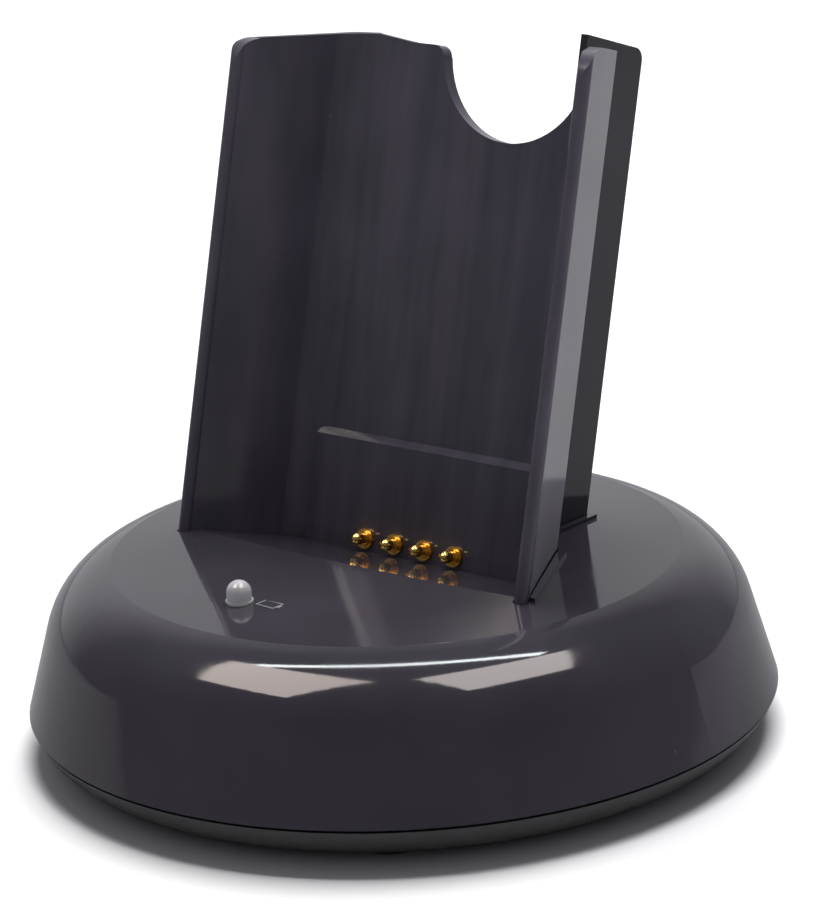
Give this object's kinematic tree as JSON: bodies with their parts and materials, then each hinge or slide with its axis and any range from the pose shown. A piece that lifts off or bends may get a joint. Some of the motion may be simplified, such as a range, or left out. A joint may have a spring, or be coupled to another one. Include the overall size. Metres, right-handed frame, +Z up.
{
  "type": "cordless phone charging base",
  "caption": "Gloss black charging base of a cordless phone: round domed foot, leaning channel upright with thumb notch, sprung contacts and a small lamp.",
  "frame": {"origin": "centre of the round base, on the surface the feet stand on", "axes": "+Z up, the open side of the cradle faces -Y, +X to its right seen from the front"},
  "size_m": [0.0922, 0.0922, 0.085],
  "materials": {
    "gloss_black": "polished black moulding",
    "gloss_black_upright": "polished black moulding",
    "gloss_black_rear": "polished black moulding",
    "pan_black": "satin black moulding",
    "moulded_grey": "glass filled moulding",
    "gold_barrel": "gold plated",
    "gold_plunger": "gold plated and polished",
    "spring_steel": "drawn wire",
    "circuit_board": "green solder mask",
    "wire_red": "insulated wire",
    "milky_lens": "milky translucent resin",
    "lamp_resin": "clear resin",
    "mark_ink": "printed mark",
    "chip_black": "moulded package",
    "ferrite": "ferrite",
    "capacitor_sleeve": "heat shrink sleeve",
    "ceramic_chips": "ceramic chip parts",
    "header_ivory": "ivory moulding",
    "jack_black": "moulded socket",
    "nickel": "nickel plated",
    "ballast_steel": "zinc plated",
    "screw_steel": "zinc plated",
    "foot_rubber": "moulded rubber"
  },
  "bodies": {
    "stand": {"top_housing": "gloss_black", "cradle_channel": "gloss_black_upright", "spine_cover": "gloss_black_rear", "bottom_cover": "pan_black", "contact_carrier": "moulded_grey", "contact_barrels": "gold_barrel", "contact_spring_1": "spring_steel", "contact_spring_2": "spring_steel", "contact_spring_3": "spring_steel", "contact_spring_4": "spring_steel", "contact_board": "circuit_board", "contact_wires": "wire_red", "lamp_lens": "milky_lens", "lamp_body": "lamp_resin", "lamp_mark": "mark_ink", "main_board": "circuit_board", "charge_chip": "chip_black", "power_inductor": "ferrite", "smoothing_capacitors": "capacitor_sleeve", "chip_parts": "ceramic_chips", "board_header": "header_ivory", "dc_jack_shell": "jack_black", "dc_jack_pin": "nickel", "ballast_plate": "ballast_steel", "ballast_screws": "screw_steel", "board_screws": "screw_steel", "housing_screws": "screw_steel", "cradle_screws": "screw_steel", "spine_screws": "screw_steel", "carrier_screws": "screw_steel", "rubber_feet": "foot_rubber"},
    "contact_1": {"contact_plunger_1": "gold_plunger"},
    "contact_2": {"contact_plunger_2": "gold_plunger"},
    "contact_3": {"contact_plunger_3": "gold_plunger"},
    "contact_4": {"contact_plunger_4": "gold_plunger"}
  },
  "joints": [
    {"name": "contact_1_press", "type": "slide", "parent": "stand", "child": "contact_1", "axis": [0, 0.9641, -0.2656], "range_m": [0, 0.001], "stiffness_N_per_m": 400, "springref_m": -0.001, "deforming": ["contact_spring_1"]},
    {"name": "contact_2_press", "type": "slide", "parent": "stand", "child": "contact_2", "axis": [0, 0.9641, -0.2656], "range_m": [0, 0.001], "stiffness_N_per_m": 400, "springref_m": -0.001, "deforming": ["contact_spring_2"]},
    {"name": "contact_3_press", "type": "slide", "parent": "stand", "child": "contact_3", "axis": [0, 0.9641, -0.2656], "range_m": [0, 0.001], "stiffness_N_per_m": 400, "springref_m": -0.001, "deforming": ["contact_spring_3"]},
    {"name": "contact_4_press", "type": "slide", "parent": "stand", "child": "contact_4", "axis": [0, 0.9641, -0.2656], "range_m": [0, 0.001], "stiffness_N_per_m": 400, "springref_m": -0.001, "deforming": ["contact_spring_4"]}
  ]
}
